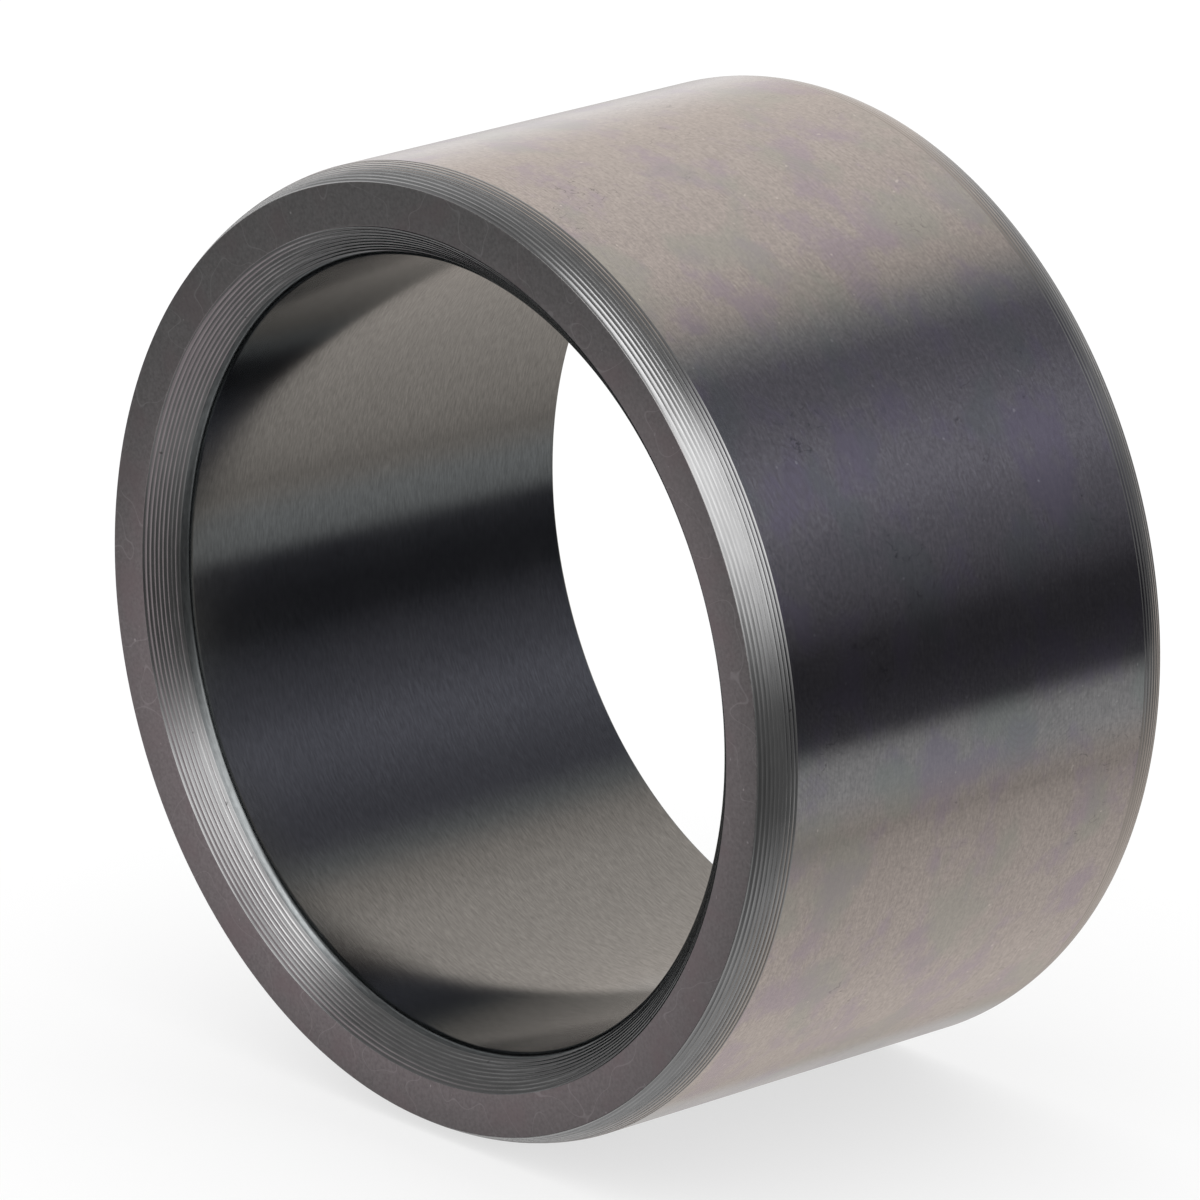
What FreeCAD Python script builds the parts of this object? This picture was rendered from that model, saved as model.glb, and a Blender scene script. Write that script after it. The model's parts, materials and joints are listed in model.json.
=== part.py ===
"""Inner ring of a needle roller bearing, 30 mm bore, 37 mm raceway, 20 mm nominal width.

The ring is turned, hardened and then ground all over except on its corner chamfers.
Its bore is pressed on a shaft. Its outside is the raceway that the needles roll on, so each
end of it has a long shallow lead-in chamfer, over which a set of needles slides on.

Frame: the ring's axis is Y, its origin is the middle of the ring, and its front face looks
along -Y. +Z is up, as the ring stands on its rim. All sizes are in millimetres and degrees.
"""

import FreeCAD, Part
import math
import os

import Sketcher

# Driving dimensions: alias, value, what it is.
SIZES = [
    ("bore_diameter", 30.0, "ground bore, pressed on the shaft"),
    ("raceway_diameter", 37.0, "ground raceway, the needles roll on it"),
    ("ring_width", 19.9, "from face to face, 20 nominal less its tolerance"),
    ("front_lead_in", 1.5, "front raceway chamfer, length along the axis"),
    ("front_lead_in_angle", 20.0, "front raceway chamfer, angle to the axis"),
    ("back_lead_in", 1.1, "back raceway chamfer, length along the axis"),
    ("back_lead_in_angle", 15.0, "back raceway chamfer, angle to the axis"),
    ("front_bore_depth", 1.13, "front bore chamfer, length along the axis"),
    ("front_bore_height", 1.33, "front bore chamfer, height up the face"),
    ("back_bore_depth", 0.35, "back bore chamfer, length along the axis"),
    ("back_bore_height", 0.41, "back bore chamfer, height up the face"),
    ("edge_break", 0.12, "radius on the edges that the chamfers leave"),
]

TOLERANCE = 1e-4


def make_sheet(doc):
    """The spreadsheet of driving dimensions, one aliased cell for each."""
    sheet = doc.addObject("Spreadsheet::Sheet", "sizes")
    for row, (alias, value, meaning) in enumerate(SIZES, start=1):
        sheet.set(f"A{row}", alias)
        sheet.set(f"B{row}", str(value))
        sheet.set(f"C{row}", meaning)
        sheet.setAlias(f"B{row}", alias)
    doc.recompute()
    return sheet


def origin_plane(body, role):
    """The body's own origin plane or axis with that role."""
    return next(feature for feature in body.Origin.OriginFeatures if feature.Role == role)


def wall_section(body, sheet):
    """Sketch of the ring's wall in the XY plane: a rectangle beside the Y axis."""
    sketch = body.newObject("Sketcher::SketchObject", "wall_section")
    sketch.AttachmentSupport = [(origin_plane(body, "XY_Plane"), "")]
    sketch.MapMode = "FlatFace"

    inner = sheet.bore_diameter / 2
    outer = sheet.raceway_diameter / 2
    end = sheet.ring_width / 2
    corners = [(inner, -end), (outer, -end), (outer, end), (inner, end)]
    points = [FreeCAD.Vector(x, y, 0) for x, y in corners]
    front, raceway, back, bore = (
        sketch.addGeometry(Part.LineSegment(start, stop), False)
        for start, stop in zip(points, points[1:] + points[:1])
    )

    begin, finish, origin = 1, 2, (-1, 1)
    for line, following in ((front, raceway), (raceway, back), (back, bore), (bore, front)):
        sketch.addConstraint(Sketcher.Constraint("Coincident", line, finish, following, begin))
    for line in (front, back):
        sketch.addConstraint(Sketcher.Constraint("Horizontal", line))
    for line in (raceway, bore):
        sketch.addConstraint(Sketcher.Constraint("Vertical", line))

    driven = [
        ("bore_radius", ("DistanceX", *origin, bore, begin, inner), "sizes.bore_diameter / 2"),
        ("raceway_radius", ("DistanceX", *origin, raceway, begin, outer), "sizes.raceway_diameter / 2"),
        ("half_width", ("DistanceY", *origin, back, begin, end), "sizes.ring_width / 2"),
        ("full_width", ("DistanceY", front, begin, back, begin, 2 * end), "sizes.ring_width"),
    ]
    for name, constraint, expression in driven:
        index = sketch.addConstraint(Sketcher.Constraint(*constraint))
        sketch.renameConstraint(index, name)
        sketch.setExpression(f"Constraints.{name}", expression)
    return sketch


def find_rim(feature, radius, station):
    """Name of the feature's circular edge of that radius at that place along Y, or None."""
    for number, edge in enumerate(feature.Shape.Edges, start=1):
        curve = edge.Curve
        if not isinstance(curve, Part.Circle):
            continue
        if abs(curve.Radius - radius) < TOLERANCE and abs(curve.Center.y - station) < TOLERANCE:
            return f"Edge{number}"
    return None


def rim(feature, radius, station):
    """The same, for an edge that has to be there."""
    name = find_rim(feature, radius, station)
    if name is None:
        raise RuntimeError(f"{feature.Label} has no rim of radius {radius} at y = {station}")
    return name


def turn_to_face(doc, chamfer, radius, station):
    """Turn a chamfer the way that ends at that radius on the face, and make sure it does."""
    doc.recompute()
    if find_rim(chamfer, radius, station) is None:
        chamfer.FlipDirection = True
        doc.recompute()
    rim(chamfer, radius, station)


def lead_in(doc, body, base, sheet, side, raceway, station):
    """Shallow chamfer on one end of the raceway, measured along the axis and by its angle."""
    name = f"{side}_lead_in"
    slope = math.tan(math.radians(sheet.get(f"{name}_angle")))
    height = sheet.get(name) * slope
    chamfer = body.newObject("PartDesign::Chamfer", name)
    chamfer.Base = (base, [rim(base, raceway, station)])
    chamfer.ChamferType = "Distance and Angle"
    chamfer.setExpression("Size", f"sizes.{name}")
    chamfer.setExpression("Angle", f"sizes.{name}_angle")
    turn_to_face(doc, chamfer, raceway - height, station)
    return chamfer


def bore_chamfer(doc, body, base, sheet, side, bore, station):
    """Chamfer on one end of the bore, a little higher up the face than it is deep."""
    chamfer = body.newObject("PartDesign::Chamfer", f"{side}_bore_chamfer")
    chamfer.Base = (base, [rim(base, bore, station)])
    chamfer.ChamferType = "Two distances"
    chamfer.setExpression("Size", f"sizes.{side}_bore_depth")
    chamfer.setExpression("Size2", f"sizes.{side}_bore_height")
    turn_to_face(doc, chamfer, bore + sheet.get(f"{side}_bore_height"), station)
    return chamfer


def edge_breaks(body, base):
    """Small radius on every edge that a chamfer shares with a face, the raceway or the bore."""
    fillet = body.newObject("PartDesign::Fillet", "edge_breaks")
    rims = [
        f"Edge{number}"
        for number, edge in enumerate(base.Shape.Edges, start=1)
        if isinstance(edge.Curve, Part.Circle)
    ]
    fillet.Base = (base, rims)
    fillet.setExpression("Radius", "sizes.edge_break")
    return fillet


def make_inner_ring(doc, sheet):
    """The whole object: one hardened steel ring."""
    body = doc.addObject("PartDesign::Body", "inner_ring")
    body.Label = "inner_ring"

    blank = body.newObject("PartDesign::Revolution", "ring_blank")
    blank.Profile = wall_section(body, sheet)
    blank.ReferenceAxis = (blank.Profile[0], ["V_Axis"])
    blank.Angle = 360
    doc.recompute()

    bore = sheet.bore_diameter / 2
    raceway = sheet.raceway_diameter / 2
    end = sheet.ring_width / 2
    feature = blank
    for side, station in (("front", -end), ("back", end)):
        feature = lead_in(doc, body, feature, sheet, side, raceway, station)
        feature = bore_chamfer(doc, body, feature, sheet, side, bore, station)
    body.Tip = edge_breaks(body, feature)
    doc.recompute()
    return body


def report(body):
    """Print each feature's volume and the radii along the finished wall."""
    for feature in body.Group:
        if feature.isDerivedFrom("PartDesign::Feature"):
            print(f"{feature.Name}: {feature.Shape.Volume:.2f} mm3")
    print("rims, as radius at place along Y:")
    circles = {
        (round(edge.Curve.Center.y, 3), round(edge.Curve.Radius, 3))
        for edge in body.Shape.Edges
        if isinstance(edge.Curve, Part.Circle) and abs(edge.Curve.Axis.y) > 0.99
    }
    for station, radius in sorted(circles):
        print(f"  {radius} at {station}")


def check(doc, parts):
    """Stop if a feature failed or a part isn't one valid solid."""
    for thing in doc.Objects:
        if "Invalid" in thing.State or "Error" in thing.State:
            raise RuntimeError(f"{thing.Name} failed to recompute: {thing.State}")
    for part in parts:
        if part.Shape.isNull() or not part.Shape.isValid() or len(part.Shape.Solids) != 1:
            raise RuntimeError(f"{part.Label} is not one valid solid")


def main():
    doc = FreeCAD.newDocument("inner_ring")
    sheet = make_sheet(doc)
    parts = [make_inner_ring(doc, sheet)]
    check(doc, parts)
    report(parts[0])
    os.makedirs("parts", exist_ok=True)
    for part in parts:
        part.Shape.exportStep(f"parts/{part.Label}.step")


main()
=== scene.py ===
"""The look of a needle roller bearing's inner ring: one turned, hardened and ground steel ring.

The ring's axis is Y, its front face looks along -Y, and it stands on its rim on the floor.
"""

import json
import math
import random

import bpy
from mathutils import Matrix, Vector


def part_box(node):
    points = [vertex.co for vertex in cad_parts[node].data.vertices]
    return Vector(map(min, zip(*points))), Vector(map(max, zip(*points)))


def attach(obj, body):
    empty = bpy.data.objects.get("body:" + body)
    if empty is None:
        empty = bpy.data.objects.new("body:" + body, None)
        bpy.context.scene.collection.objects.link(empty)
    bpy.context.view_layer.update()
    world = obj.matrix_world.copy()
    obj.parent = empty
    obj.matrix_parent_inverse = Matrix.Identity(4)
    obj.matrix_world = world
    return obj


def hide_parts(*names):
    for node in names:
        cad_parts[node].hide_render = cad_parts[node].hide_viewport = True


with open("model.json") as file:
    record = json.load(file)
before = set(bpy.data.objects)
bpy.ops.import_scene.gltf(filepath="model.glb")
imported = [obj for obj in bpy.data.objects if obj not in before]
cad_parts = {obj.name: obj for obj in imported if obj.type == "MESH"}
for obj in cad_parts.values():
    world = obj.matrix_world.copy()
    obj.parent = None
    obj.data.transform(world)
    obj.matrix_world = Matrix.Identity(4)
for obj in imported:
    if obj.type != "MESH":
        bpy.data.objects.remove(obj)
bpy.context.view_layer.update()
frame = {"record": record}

MM = 0.001
BODY = "root"
NODE = "inner_ring"

# The ends of the ring, in millimetres and degrees. Lead-in: length along the axis and angle to it.
# Bore chamfer: depth along the axis and height up the face. A crown is how far a chamfer bulges.
FRONT_END = {
    "lead_in": 1.5,
    "angle": 20.0,
    "lead_in_crown": 0.09,
    "bore_depth": 1.13,
    "bore_height": 1.33,
    "bore_crown": 0.03,
    "bore_edge_radius": 0.6,
}
BACK_END = {
    "lead_in": 1.1,
    "angle": 15.0,
    "lead_in_crown": 0.06,
    "bore_depth": 0.35,
    "bore_height": 0.41,
    "bore_crown": 0.0,
    "bore_edge_radius": 0.1,
}
FACE_EDGE_RADIUS = 0.04
EDGE_STEPS = 6

# The turning tool that cut the chamfers: its feed in a turn, and the radius of its nose.
FEED = 0.165
NOSE_RADIUS = 0.4

# How finely the ring is divided: round its axis, and across one groove.
SEGMENTS = 384
STEPS_PER_GROOVE = 6

# The tunnel of paper about the ring's axis that the steel mirrors. Each stretch of it has a list of
# brightness round the axis: angle from +X towards +Z in degrees, brightness, and tint.
TUNNEL_RADIUS = 300.0
TUNNEL_SIDES = 180
WHITE = (1.0, 1.0, 1.0)
PALE = (1.0, 0.96, 0.94)
WARM = (1.03, 0.91, 0.82)
COOL = (0.96, 0.935, 1.10)

# What the back lead-in mirrors.
FAR_BEHIND = [
    (-180, 0.85, PALE),
    (-120, 0.58, WARM),
    (-80, 0.38, WARM),
    (-58, 0.225, WHITE),
    (-40, 0.13, WHITE),
    (-20, 0.115, WHITE),
    (0, 0.20, WHITE),
    (25, 0.21, WHITE),
    (50, 0.38, WHITE),
    (68, 0.29, WHITE),
    (100, 0.25, WHITE),
    (130, 0.40, WHITE),
    (180, 0.85, PALE),
]

# What the raceway and the bore mirror: the broad light and dark bands.
BEHIND = [
    (-180, 0.88, PALE),
    (-162, 0.58, PALE),
    (-146, 0.56, PALE),
    (-132, 0.58, PALE),
    (-124, 0.53, WARM),
    (-112, 0.64, WARM),
    (-96, 0.67, WARM),
    (-72, 0.59, WARM),
    (-56, 0.52, WARM),
    (-45, 0.43, WARM),
    (-42.5, 0.33, WARM),
    (-40, 0.40, WARM),
    (-32, 0.36, WHITE),
    (-23.5, 0.31, WHITE),
    (-18.5, 0.05, COOL),
    (-6, 0.028, COOL),
    (2, 0.031, COOL),
    (14, 0.095, COOL),
    (25, 0.145, COOL),
    (34, 0.21, COOL),
    (42, 0.21, COOL),
    (58, 0.132, COOL),
    (66, 0.13, COOL),
    (74, 0.25, WHITE),
    (84, 0.52, WARM),
    (98, 0.71, WARM),
    (128, 0.80, WARM),
    (154, 0.81, WARM),
    (180, 0.95, PALE),
]

# A dark gap between the sheets, which draws a dark line where the bore turns into its chamfer.
GAP = [
    (-180, 0.10, WHITE),
    (0, 0.06, WHITE),
    (180, 0.10, WHITE),
]

# What the front lead-in mirrors, from its raceway side to its face side.
BESIDE_BACK = [
    (-180, 0.75, WHITE),
    (-150, 0.68, WHITE),
    (-115, 0.60, WHITE),
    (-95, 0.43, WHITE),
    (-56, 0.34, WARM),
    (-44, 0.37, WHITE),
    (-27, 0.15, WHITE),
    (-5, 0.14, WHITE),
    (6, 0.35, WHITE),
    (16, 0.9, WHITE),
    (30, 1.2, WHITE),
    (50, 1.2, WHITE),
    (58, 0.7, WHITE),
    (68, 0.30, WHITE),
    (100, 0.31, WHITE),
    (115, 0.44, WHITE),
    (140, 0.72, WHITE),
    (180, 0.75, WHITE),
]
BESIDE_FRONT = [
    (-180, 0.34, WHITE),
    (-110, 0.41, WHITE),
    (-60, 0.50, WHITE),
    (-44, 0.46, WHITE),
    (-27, 0.15, WHITE),
    (-5, 0.14, WHITE),
    (6, 0.40, WHITE),
    (16, 1.0, WHITE),
    (28, 1.4, WHITE),
    (48, 1.4, WHITE),
    (56, 0.8, WHITE),
    (62, 0.37, WHITE),
    (68, 0.25, WHITE),
    (100, 0.22, WHITE),
    (135, 0.35, WHITE),
    (180, 0.34, WHITE),
]
BESIDE_FACE = [
    (-180, 0.15, WHITE),
    (-100, 0.16, WHITE),
    (-80, 0.20, WHITE),
    (-62, 0.27, WHITE),
    (-45, 0.18, WHITE),
    (-25, 0.11, WHITE),
    (-5, 0.14, WHITE),
    (6, 0.40, WHITE),
    (16, 1.0, WHITE),
    (28, 1.3, WHITE),
    (50, 1.4, WHITE),
    (62, 0.72, WHITE),
    (80, 0.42, WHITE),
    (95, 0.28, WHITE),
    (115, 0.16, WHITE),
    (180, 0.15, WHITE),
]
NEAR_FRONT = [
    (-180, 0.16, WHITE),
    (-100, 0.17, WHITE),
    (-80, 0.18, WHITE),
    (-62, 0.27, WHITE),
    (-45, 0.15, WHITE),
    (-20, 0.09, WHITE),
    (0, 0.14, WHITE),
    (15, 0.4, WHITE),
    (27, 1.1, WHITE),
    (45, 1.6, WHITE),
    (80, 1.9, WHITE),
    (92, 1.6, WHITE),
    (103, 0.5, WHITE),
    (115, 0.2, WHITE),
    (180, 0.16, WHITE),
]

# What the front bore chamfer mirrors, and part of the front face.
IN_FRONT = [
    (-180, 0.16, WHITE),
    (-100, 0.17, WHITE),
    (-80, 0.19, WHITE),
    (-62, 0.28, WHITE),
    (-48, 0.14, WHITE),
    (-30, 0.085, WHITE),
    (-12, 0.09, WHITE),
    (4, 0.16, WHITE),
    (20, 0.5, WHITE),
    (35, 1.1, WHITE),
    (60, 1.2, WHITE),
    (85, 0.75, WHITE),
    (105, 0.88, WHITE),
    (120, 0.20, WHITE),
    (130, 0.14, WHITE),
    (180, 0.16, WHITE),
]

# Name of each stretch, where it begins and ends along Y in millimetres, and its brightness.
STRETCHES = [
    ("tunnel_far_behind", 420, 1500, FAR_BEHIND),
    ("tunnel_behind", 165, 420, BEHIND),
    ("tunnel_gap", 130, 165, GAP),
    ("tunnel_beside_back", 60, 130, BESIDE_BACK),
    ("tunnel_beside_front", -45, 60, BESIDE_FRONT),
    ("tunnel_beside_face", -85, -45, BESIDE_FACE),
    ("tunnel_near_front", -250, -85, NEAR_FRONT),
    ("tunnel_in_front", -1500, -250, IN_FRONT),
]

# The camera: direction in degrees, then distance and aim in millimetres from the front face's middle.
CAMERA_AZIMUTH = 48.14
CAMERA_ELEVATION = 17.88
CAMERA_DISTANCE = 443.7
CAMERA_AIM_RIGHT = 6.379
CAMERA_AIM_UP = 2.294
CAMERA_LENS = 362.1

# Which finish a stretch of the profile has. The order is the order of the material slots.
BORE, TURNED, FACE, RACEWAY = range(4)


# ---------------------------------------------------------------------------------------------
# The ring's outline: points of (radius, place along Y) in millimetres
# ---------------------------------------------------------------------------------------------


class Outline:
    """A closed outline of the ring's wall: points, the finish of each stretch, which points are
    sharp, and how much painted shade darkens each point: most in the bottoms of the chamfers'
    grooves.
    """

    def __init__(self):
        self.points = []
        self.finishes = []
        self.sharp = set()
        self.groove_shade = []

    def go(self, point, finish, sharp=False, groove_shade=0.0):
        """Add a point. The finish is that of the stretch that leads to it."""
        if sharp:
            self.sharp.add(len(self.points))
        self.points.append(Vector(point))
        self.finishes.append(finish)
        self.groove_shade.append(groove_shade)


def turned_chamfer(outline, start, end, crown, jitter):
    """A chamfer cut by a round-nosed tool: a crowned row of shallow grooves with sharp crests."""
    start, end = Vector(start), Vector(end)
    along = end - start
    outward = Vector((along.y, -along.x)).normalized()
    grooves = round(along.length / FEED)
    depth = FEED**2 / (8 * NOSE_RADIUS)

    widths = [1 + jitter.uniform(-0.06, 0.06) for _ in range(grooves)]
    crests = [sum(widths[:count]) / sum(widths) for count in range(grooves + 1)]
    for first, last in zip(crests, crests[1:]):
        bite = depth * jitter.uniform(0.75, 1.2)
        lean = jitter.uniform(-0.1, 0.1)
        for step in range(1, STEPS_PER_GROOVE + 1):
            t = step / STEPS_PER_GROOVE
            s = first + (last - first) * t
            bulge = 4 * crown * s * (1 - s)
            dip = 4 * bite * t * (1 - t) * (1 + lean * (2 * t - 1))
            place = start + along * s + outward * (bulge - dip)
            # Painted shade: deepest in the middle of each groove, none on the crests.
            outline.go(place, TURNED, sharp=t == 1, groove_shade=4 * t * (1 - t))


def rounded_corner(before, corner, after, radius):
    """Points of the arc that rounds a corner between the lines to the points on each side."""
    corner = Vector(corner)
    to_before = (Vector(before) - corner).normalized()
    to_after = (Vector(after) - corner).normalized()
    half = to_before.angle(to_after) / 2
    reach = radius / math.tan(half)
    centre = corner + (to_before + to_after).normalized() * radius / math.sin(half)
    spoke = corner + to_before * reach - centre
    last = corner + to_after * reach - centre
    points = []
    for step in range(EDGE_STEPS + 1):
        turned = spoke.lerp(last, step / EDGE_STEPS)
        points.append(centre + turned.normalized() * radius)
    return points


def end_outline(outline, end, side, bore, raceway, half, jitter):
    """One end of the ring's wall: from bore to raceway in front (side -1), and back (side 1)."""
    height = end["lead_in"] * math.tan(math.radians(end["angle"]))
    bore_edge = Vector((bore, side * (half - end["bore_depth"])))
    face_inner = Vector((bore + end["bore_height"], side * half))
    face_outer = Vector((raceway - height, side * half))
    raceway_edge = Vector((raceway, side * (half - end["lead_in"])))
    bore_middle = Vector((bore, 0))
    bore_round = rounded_corner(bore_middle, bore_edge, face_inner, end["bore_edge_radius"])
    inner_round = rounded_corner(bore_edge, face_inner, face_outer, FACE_EDGE_RADIUS)
    outer_round = rounded_corner(face_inner, face_outer, raceway_edge, FACE_EDGE_RADIUS)

    if side < 0:
        for point in bore_round:
            outline.go(point, BORE)
        turned_chamfer(outline, bore_round[-1], inner_round[0], end["bore_crown"], jitter)
        for point in inner_round[1:] + outer_round:
            outline.go(point, FACE)
        turned_chamfer(outline, outer_round[-1], raceway_edge, end["lead_in_crown"], jitter)
    else:
        outline.go(raceway_edge, RACEWAY, sharp=True)
        turned_chamfer(outline, raceway_edge, outer_round[-1], end["lead_in_crown"], jitter)
        for point in outer_round[-2::-1] + inner_round[::-1]:
            outline.go(point, FACE)
        turned_chamfer(outline, inner_round[0], bore_round[-1], end["bore_crown"], jitter)
        for point in bore_round[-2::-1]:
            outline.go(point, BORE)


def ring_outline(bore, raceway, half):
    """Once round the ring's wall, from the front of the bore over the front face and back."""
    jitter = random.Random(30)
    outline = Outline()
    end_outline(outline, FRONT_END, -1, bore, raceway, half, jitter)
    end_outline(outline, BACK_END, 1, bore, raceway, half, jitter)
    return outline


def lathe(name, outline, materials):
    """Turn the outline about the Y axis into a closed mesh, smooth but for its sharp rims."""
    rows = len(outline.points)
    turns = [2 * math.pi * step / SEGMENTS for step in range(SEGMENTS)]
    vertices = [
        (point.x * MM * math.cos(turn), point.y * MM, point.x * MM * math.sin(turn))
        for turn in turns
        for point in outline.points
    ]
    faces = []
    finishes = []
    for step in range(SEGMENTS):
        here = step * rows
        there = (step + 1) % SEGMENTS * rows
        for row in range(rows):
            back = (row - 1) % rows
            faces.append((here + back, here + row, there + row, there + back))
            finishes.append(outline.finishes[row])

    mesh = bpy.data.meshes.new(name)
    mesh.from_pydata(vertices, [], faces)
    for material in materials:
        mesh.materials.append(material)
    mesh.polygons.foreach_set("material_index", finishes)
    mesh.polygons.foreach_set("use_smooth", [True] * len(faces))
    sharp = mesh.attributes.new("sharp_edge", "BOOLEAN", "EDGE")
    sharp.data.foreach_set(
        "value",
        [
            edge.vertices[0] % rows == edge.vertices[1] % rows
            and edge.vertices[0] % rows in outline.sharp
            for edge in mesh.edges
        ],
    )
    # How much painted shade darkens each point; the chamfers' material reads it.
    groove_shade = mesh.attributes.new("groove_shade", "FLOAT", "POINT")
    groove_shade.data.foreach_set("value", outline.groove_shade * SEGMENTS)
    mesh.validate()
    ring = bpy.data.objects.new(name, mesh)
    bpy.context.collection.objects.link(ring)
    return ring


# ---------------------------------------------------------------------------------------------
# Materials
# ---------------------------------------------------------------------------------------------


class Graph:
    """A material's node tree, with short ways to add nodes to it."""

    def __init__(self, name):
        self.material = bpy.data.materials.new(name)
        self.material.use_nodes = True
        self.nodes = self.material.node_tree.nodes
        self.links = self.material.node_tree.links
        self.shader = self.nodes["Principled BSDF"]
        self.place = self.add("ShaderNodeTexCoord").outputs["Object"]

    def add(self, kind, inputs=None, **settings):
        """Add a node. An input's value is a number, a tuple or another node's output."""
        node = self.nodes.new(kind)
        for key, value in settings.items():
            setattr(node, key, value)
        for key, value in (inputs or {}).items():
            self.feed(node.inputs[key], value)
        return node

    def feed(self, socket, value):
        """Link an output to a socket, or set the socket's own value."""
        if isinstance(value, bpy.types.NodeSocket):
            self.links.new(value, socket)
        else:
            socket.default_value = value

    def math(self, operation, *values):
        node = self.add("ShaderNodeMath", operation=operation)
        for socket, value in zip(node.inputs, values):
            self.feed(socket, value)
        return node.outputs[0]

    def noise(self, per_metre, detail=2.0, roughness=0.5, offset=0.0):
        """Noise with its own frequency along X, Y and Z. An offset makes it a different one."""
        stretch = self.add(
            "ShaderNodeVectorMath",
            {0: self.place, 1: per_metre, 2: (offset, offset, offset)},
            operation="MULTIPLY_ADD",
        )
        settings = {
            "Vector": stretch.outputs[0],
            "Scale": 1.0,
            "Detail": detail,
            "Roughness": roughness,
        }
        return self.add("ShaderNodeTexNoise", settings).outputs["Fac"]

    def spread(self, value, low, high, to_low, to_high):
        """Map a value from one range to another, clamped at both ends."""
        inputs = {
            "Value": value,
            "From Min": low,
            "From Max": high,
            "To Min": to_low,
            "To Max": to_high,
        }
        return self.add("ShaderNodeMapRange", inputs).outputs["Result"]

    def tint(self, value, dark, light):
        """A colour between two, chosen by a value from 0 to 1."""
        mix = self.add("ShaderNodeMix", data_type="RGBA")
        self.feed(mix.inputs["Factor"], value)
        self.feed(mix.inputs["A"], (*dark, 1.0))
        self.feed(mix.inputs["B"], (*light, 1.0))
        return mix.outputs["Result"]

    def blend(self, color, value, other):
        """A colour laid over another where a value is high."""
        mix = self.add("ShaderNodeMix", data_type="RGBA")
        self.feed(mix.inputs["Factor"], value)
        self.feed(mix.inputs["A"], color)
        self.feed(mix.inputs["B"], (*other, 1.0))
        return mix.outputs["Result"]

    def bump(self, height, depth):
        """A bump of that depth in metres, fed to the shader."""
        node = self.add("ShaderNodeBump", {"Height": height, "Distance": depth, "Strength": 1.0})
        self.feed(self.shader.inputs["Normal"], node.outputs["Normal"])

    def steel(self, color, roughness, anisotropy=0.0):
        """Set the shader to bare steel. Lines run round the axis, and gloss spreads across them."""
        self.feed(self.shader.inputs["Metallic"], 1.0)
        self.feed(self.shader.inputs["Base Color"], color)
        self.feed(self.shader.inputs["Roughness"], roughness)
        if anisotropy:
            tangent = self.add("ShaderNodeTangent", direction_type="RADIAL", axis="Y")
            self.feed(self.shader.inputs["Tangent"], tangent.outputs["Tangent"])
            self.feed(self.shader.inputs["Anisotropic"], anisotropy)
            self.feed(self.shader.inputs["Anisotropic Rotation"], 0.25)
        return self.material


def ground_raceway():
    """Finely ground steel: short hair lines round the ring, stains, scratches and fingerprints."""
    graph = Graph("ground_raceway")
    hair = graph.noise((2400, 13000, 2400), detail=3, roughness=0.65)
    grain = graph.noise((7000, 7000, 7000), detail=2)
    light = graph.spread(hair, 0.3, 0.7, 0, 0.55)
    light = graph.math("ADD", light, graph.spread(grain, 0.3, 0.7, 0, 0.45))
    color = graph.tint(light, (0.40, 0.395, 0.405), (0.63, 0.62, 0.625))

    blotch = graph.noise((330, 420, 330), detail=4, roughness=0.6)
    color = graph.blend(color, graph.spread(blotch, 0.5, 0.62, 0, 0.55), (0.45, 0.41, 0.54))
    mist = graph.noise((210, 260, 210), detail=3, offset=7.0)
    color = graph.blend(color, graph.spread(mist, 0.54, 0.62, 0, 0.45), (0.42, 0.48, 0.46))

    vein = graph.noise((1500, 900, 1500), detail=3, offset=3.0)
    vein = graph.math("ABSOLUTE", graph.math("SUBTRACT", vein, 0.5))
    broken = graph.noise((1900, 1900, 1900), detail=1, offset=31.0)
    patch = graph.noise((170, 230, 170), detail=2, offset=11.0)
    vein = graph.spread(vein, 0.004, 0.014, 1, 0)
    mark = graph.math("MULTIPLY", vein, graph.spread(broken, 0.52, 0.6, 0, 1))
    mark = graph.math("MULTIPLY", mark, graph.spread(patch, 0.56, 0.64, 0, 0.6))
    color = graph.blend(color, mark, (0.16, 0.16, 0.18))

    speck = graph.noise((4300, 4300, 4300), detail=0, offset=5.0)
    color = graph.blend(color, graph.spread(speck, 0.84, 0.88, 0, 0.5), (0.85, 0.85, 0.85))

    whorl = graph.noise((110, 150, 110), detail=1, offset=19.0)
    ridges = graph.math("SINE", graph.math("MULTIPLY", whorl, 420.0))
    touched = graph.noise((120, 120, 120), detail=1, offset=23.0)
    ridges = graph.math("MULTIPLY", ridges, graph.spread(touched, 0.5, 0.6, 0, 1))
    color = graph.blend(color, graph.spread(ridges, 0, 1, 0, 0.18), (0.34, 0.33, 0.33))

    roughness = graph.spread(blotch, 0.3, 0.7, 0.12, 0.17)
    graph.bump(hair, 3e-7)
    return graph.steel(color, roughness, anisotropy=0.7)


def ground_bore():
    """Ground steel, a little duller and darker than the raceway."""
    graph = Graph("ground_bore")
    hair = graph.noise((2500, 14000, 2500), detail=3, roughness=0.6)
    cloud = graph.noise((400, 400, 400), detail=3)
    light = graph.spread(hair, 0.25, 0.75, 0, 1)
    color = graph.tint(light, (0.215, 0.226, 0.230), (0.345, 0.363, 0.369))
    roughness = graph.spread(cloud, 0.3, 0.7, 0.13, 0.17)
    graph.bump(hair, 3e-7)
    return graph.steel(color, roughness, anisotropy=0.6)


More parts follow.
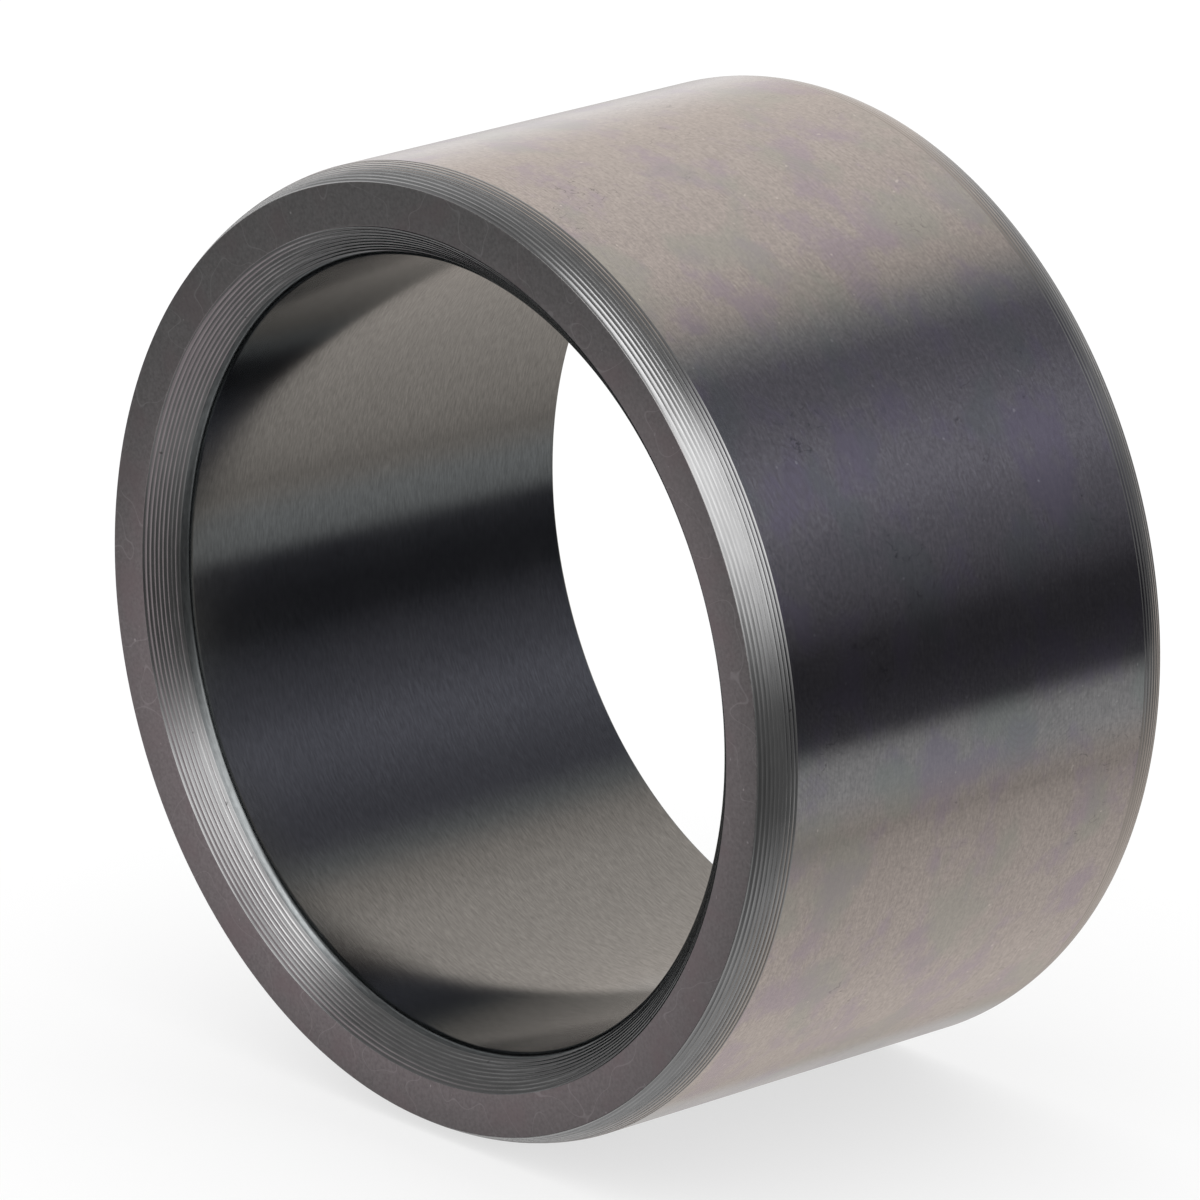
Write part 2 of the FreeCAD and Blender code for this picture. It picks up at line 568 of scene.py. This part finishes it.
def ground_face():
    """The flat faces, ground dull by a wheel that crosses them, with fine scratches and specks."""
    graph = Graph("ground_face")
    grain = graph.noise((9000, 9000, 9000), detail=3)
    cloud = graph.noise((500, 500, 500), detail=3)
    color = graph.tint(graph.spread(grain, 0.3, 0.7, 0, 1), (0.35, 0.34, 0.34), (0.47, 0.46, 0.46))
    color = graph.blend(color, graph.spread(cloud, 0.5, 0.68, 0, 0.5), (0.42, 0.36, 0.37))
    scratch = graph.noise((420, 420, 420), detail=1, offset=13.0)
    scratch = graph.math("ABSOLUTE", graph.math("SUBTRACT", scratch, 0.5))
    scratch = graph.spread(scratch, 0.0015, 0.005, 0.45, 0)
    color = graph.blend(color, scratch, (0.66, 0.66, 0.66))
    speck = graph.noise((4200, 4200, 4200), detail=0, offset=5.0)
    color = graph.blend(color, graph.spread(speck, 0.83, 0.87, 0, 0.8), (0.8, 0.8, 0.8))
    roughness = graph.spread(grain, 0.3, 0.7, 0.30, 0.40)
    graph.bump(grain, 6e-7)
    return graph.steel(color, roughness)


def turned_steel():
    """The chamfers, which keep the tool's grooves, with painted shade in the bottoms of them."""
    graph = Graph("turned_steel")
    hair = graph.noise((1200, 26000, 1200), detail=2)
    color = graph.tint(graph.spread(hair, 0.3, 0.7, 0, 1), (0.46, 0.46, 0.46), (0.60, 0.60, 0.60))
    # Painted shade: the bottoms of the grooves are darkened towards a dark grey.
    groove_shade = graph.add("ShaderNodeAttribute", attribute_name="groove_shade").outputs["Fac"]
    color = graph.blend(color, graph.spread(groove_shade, 0.15, 0.95, 0, 0.55), (0.27, 0.27, 0.275))
    nick = graph.noise((2600, 2600, 2600), detail=1, offset=9.0)
    color = graph.blend(color, graph.spread(nick, 0.78, 0.82, 0, 0.7), (0.14, 0.14, 0.14))
    roughness = graph.spread(hair, 0.3, 0.7, 0.13, 0.19)
    graph.bump(hair, 2e-7)
    return graph.steel(color, roughness, anisotropy=0.5)


# ---------------------------------------------------------------------------------------------
# Studio: floor, light, and the paper that the steel mirrors
# ---------------------------------------------------------------------------------------------


def lit_paper(name, tone, glow):
    """Matt white paper, lit from below as well."""
    material = bpy.data.materials.new(name)
    material.use_nodes = True
    shader = material.node_tree.nodes["Principled BSDF"]
    shader.inputs["Base Color"].default_value = (tone, tone, tone, 1.0)
    shader.inputs["Roughness"].default_value = 0.9
    shader.inputs["Specular IOR Level"].default_value = 0.0
    shader.inputs["Emission Color"].default_value = (1.0, 1.0, 1.0, 1.0)
    shader.inputs["Emission Strength"].default_value = glow
    return material


def quad(name, corners, material):
    """A flat piece of the studio, given by its four corners in millimetres."""
    mesh = bpy.data.meshes.new(name)
    mesh.from_pydata([Vector(corner) * MM for corner in corners], [], [(0, 1, 2, 3)])
    layer = mesh.uv_layers.new(name="card")
    for loop, place in zip(layer.data, ((0, 0), (1, 0), (1, 1), (0, 1))):
        loop.uv = place
    mesh.materials.append(material)
    piece = bpy.data.objects.new(name, mesh)
    bpy.context.collection.objects.link(piece)
    return piece


def brightness_ramp(nodes, stops):
    """A colour ramp of brightness round the ring, from -180 to 180 degrees."""
    ramp = nodes.new("ShaderNodeValToRGB")
    elements = ramp.color_ramp.elements
    while len(elements) < len(stops):
        elements.new(0.5)
    for element, (angle, brightness, tint) in zip(elements, stops):
        element.position = (angle + 180) / 360
        element.color = (*(brightness * part for part in tint), 1.0)
    return ramp


def light_tunnel(name, near, far, stops):
    """A stretch of a round paper tunnel about the ring's axis, which only the steel mirrors."""
    material = bpy.data.materials.new(name)
    material.use_nodes = True
    nodes = material.node_tree.nodes
    links = material.node_tree.links
    nodes.clear()
    place = nodes.new("ShaderNodeUVMap")
    parts = nodes.new("ShaderNodeSeparateXYZ")
    ramp = brightness_ramp(nodes, stops)
    glow = nodes.new("ShaderNodeEmission")
    out = nodes.new("ShaderNodeOutputMaterial")
    links.new(place.outputs["UV"], parts.inputs["Vector"])
    links.new(parts.outputs["X"], ramp.inputs["Fac"])
    links.new(ramp.outputs["Color"], glow.inputs["Color"])
    links.new(glow.outputs["Emission"], out.inputs["Surface"])

    turns = [2 * math.pi * step / TUNNEL_SIDES - math.pi for step in range(TUNNEL_SIDES + 1)]
    vertices = [
        Vector((TUNNEL_RADIUS * math.cos(turn), station, TUNNEL_RADIUS * math.sin(turn))) * MM
        for station in (near, far)
        for turn in turns
    ]
    across = len(turns)
    faces = [(side, side + 1, side + 1 + across, side + across) for side in range(TUNNEL_SIDES)]
    mesh = bpy.data.meshes.new(name)
    mesh.from_pydata(vertices, [], faces)
    layer = mesh.uv_layers.new(name="round")
    for loop, corner in zip(layer.data, mesh.loops):
        loop.uv = (corner.vertex_index % across / TUNNEL_SIDES, corner.vertex_index // across)
    mesh.materials.append(material)
    tunnel = bpy.data.objects.new(name, mesh)
    steel_only(tunnel)
    bpy.context.collection.objects.link(tunnel)


def glowing_material(name, color):
    """Plain emission of that colour."""
    material = bpy.data.materials.new(name)
    material.use_nodes = True
    nodes = material.node_tree.nodes
    nodes.clear()
    glow = nodes.new("ShaderNodeEmission")
    glow.inputs["Color"].default_value = (*color, 1.0)
    out = nodes.new("ShaderNodeOutputMaterial")
    material.node_tree.links.new(glow.outputs["Emission"], out.inputs["Surface"])
    return material


def steel_only(piece):
    """Let only the steel's reflections see a piece of the studio."""
    piece.visible_camera = False
    piece.visible_diffuse = False
    piece.visible_shadow = False
    piece.visible_transmission = False


def table_glow():
    """Card low in front of the ring: the lit table that the lower part of the face mirrors."""
    station = -35
    corners = [(-60, -16), (-8, 5), (-8, -33), (-60, -33)]
    card = quad(
        "table_glow",
        [(right, station, up) for right, up in corners],
        glowing_material("table_glow", (0.40, 0.35, 0.365)),
    )
    steel_only(card)


def area_light(name, place, size, power):
    """A square softbox aimed at the ring, which the steel doesn't mirror. Millimetres and watts."""
    data = bpy.data.lights.new(name, "AREA")
    data.shape = "SQUARE"
    data.size = size * MM
    data.energy = power
    light = bpy.data.objects.new(name, data)
    light.location = Vector(place) * MM
    light.rotation_mode = "QUATERNION"
    light.rotation_quaternion = (-light.location).to_track_quat("-Z", "Y")
    light.visible_glossy = False
    light.visible_camera = False
    bpy.context.collection.objects.link(light)


def pale_floor(height):
    """The floor that the ring stands on. The steel doesn't mirror it."""
    reach = 3000
    floor = quad(
        "floor",
        [
            (-reach, -reach, height),
            (reach, -reach, height),
            (reach, reach, height),
            (-reach, reach, height),
        ],
        lit_paper("floor_paper", tone=0.32, glow=0.665),
    )
    floor.visible_glossy = False


def white_room():
    """The world: white to the camera and the floor, and dim to the steel."""
    world = bpy.data.worlds.new("studio")
    world.use_nodes = True
    nodes = world.node_tree.nodes
    links = world.node_tree.links
    backdrop = nodes["Background"]
    backdrop.inputs["Color"].default_value = (1.0, 1.0, 1.0, 1.0)
    backdrop.inputs["Strength"].default_value = 1.0
    mirrored = nodes.new("ShaderNodeBackground")
    mirrored.inputs["Color"].default_value = (1.0, 0.98, 0.97, 1.0)
    mirrored.inputs["Strength"].default_value = 0.2
    seen = nodes.new("ShaderNodeLightPath")
    choice = nodes.new("ShaderNodeMixShader")
    links.new(seen.outputs["Is Glossy Ray"], choice.inputs["Fac"])
    links.new(backdrop.outputs["Background"], choice.inputs[1])
    links.new(mirrored.outputs["Background"], choice.inputs[2])
    links.new(choice.outputs["Shader"], nodes["World Output"].inputs["Surface"])
    bpy.context.scene.world = world


def studio(floor_height):
    """A pale floor under soft light, and the paper tunnel and card that the steel mirrors."""
    pale_floor(floor_height)
    area_light("overhead_softbox", place=(-100, 100, 900), size=1400, power=2.5)
    for name, near, far, stops in STRETCHES:
        light_tunnel(name, near, far, stops)
    table_glow()
    white_room()


def camera(front):
    """A long lens from the right and above, aimed past the middle of the front face."""
    azimuth = math.radians(CAMERA_AZIMUTH)
    elevation = math.radians(CAMERA_ELEVATION)
    back = Vector(
        (
            math.sin(azimuth) * math.cos(elevation),
            -math.cos(azimuth) * math.cos(elevation),
            math.sin(elevation),
        )
    )
    right = Vector((math.cos(azimuth), math.sin(azimuth), 0))
    up = back.cross(right)
    offset = back * CAMERA_DISTANCE + right * CAMERA_AIM_RIGHT + up * CAMERA_AIM_UP
    data = bpy.data.cameras.new("camera")
    data.sensor_width = 36
    data.lens = CAMERA_LENS
    data.clip_start = 0.01
    data.clip_end = 20
    view = bpy.data.objects.new("camera", data)
    view.location = front + offset * MM
    view.rotation_mode = "QUATERNION"
    view.rotation_quaternion = (-back).to_track_quat("-Z", "Y")
    bpy.context.collection.objects.link(view)
    bpy.context.scene.camera = view


def main():
    low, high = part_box(NODE)
    half = (high[1] - low[1]) / 2 / MM
    raceway = min(high[0], high[2]) / MM
    mounts = {mount["name"]: mount for mount in frame["record"]["mounts"]}
    bore = mounts["shaft_bore"]["dims"]["r_mm"]

    materials = [ground_bore(), turned_steel(), ground_face(), ground_raceway()]
    ring = lathe("steel_ring", ring_outline(bore, raceway, half), materials)
    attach(ring, BODY)
    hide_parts(NODE)

    studio(low[2] / MM)
    camera(Vector((0, low[1], 0)))
    bpy.context.scene.view_settings.view_transform = "Standard"


main()
